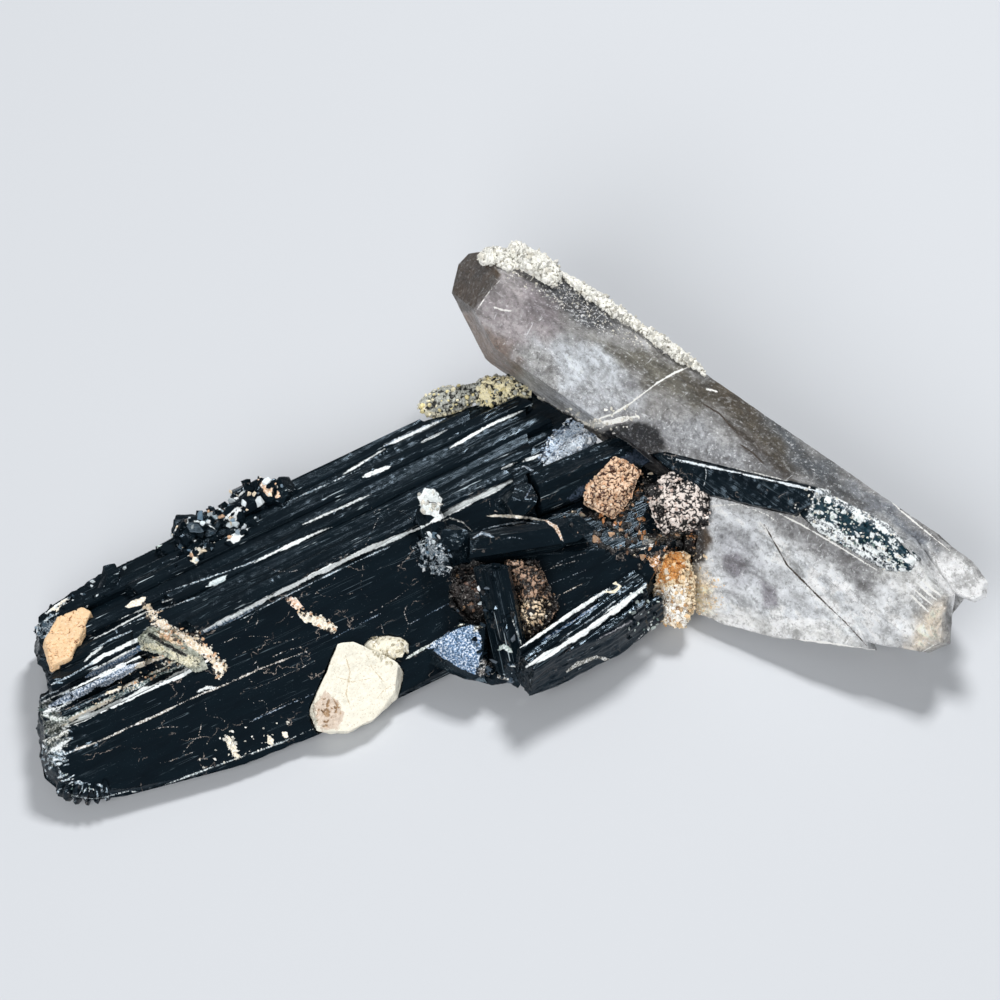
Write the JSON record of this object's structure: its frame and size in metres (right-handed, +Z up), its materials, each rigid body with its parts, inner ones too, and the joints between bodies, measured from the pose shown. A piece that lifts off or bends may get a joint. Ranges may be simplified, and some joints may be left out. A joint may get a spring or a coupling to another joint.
{
  "type": "mineral specimen",
  "caption": "Smoky quartz point with quartz lobes grown across striated black aegirine blades, with cream feldspar and pale crusts, resting on the flat underside of the big blade.",
  "frame": {"origin": "middle of the footprint's bounding box, on the surface that the specimen rests on", "axes": "+X to the right along the specimen, +Y away from the viewer of the picture, +Z up from the resting face"},
  "size_m": [0.118, 0.074, 0.027],
  "materials": {
    "smoky_quartz": "vitreous, part milky",
    "aegirine": "glossy, striated",
    "feldspar": "matt",
    "pale_crust": "granular",
    "tan_crust": "granular"
  },
  "bodies": {
    "root": {"smoky_quartz": "smoky_quartz", "aegirine_blade": "aegirine", "aegirine_front": "aegirine", "aegirine_back": "aegirine", "aegirine_sliver": "aegirine", "feldspar": "feldspar", "feldspar_tan_left": "tan_crust", "feldspar_tan_right": "tan_crust", "quartz_crust": "pale_crust", "edge_crust": "pale_crust", "contact_crust": "pale_crust", "trough_crust": "pale_crust", "orange_crust": "tan_crust", "tan_patch": "tan_crust", "rubble_left": "tan_crust", "rubble_right": "tan_crust"}
  },
  "joints": []
}
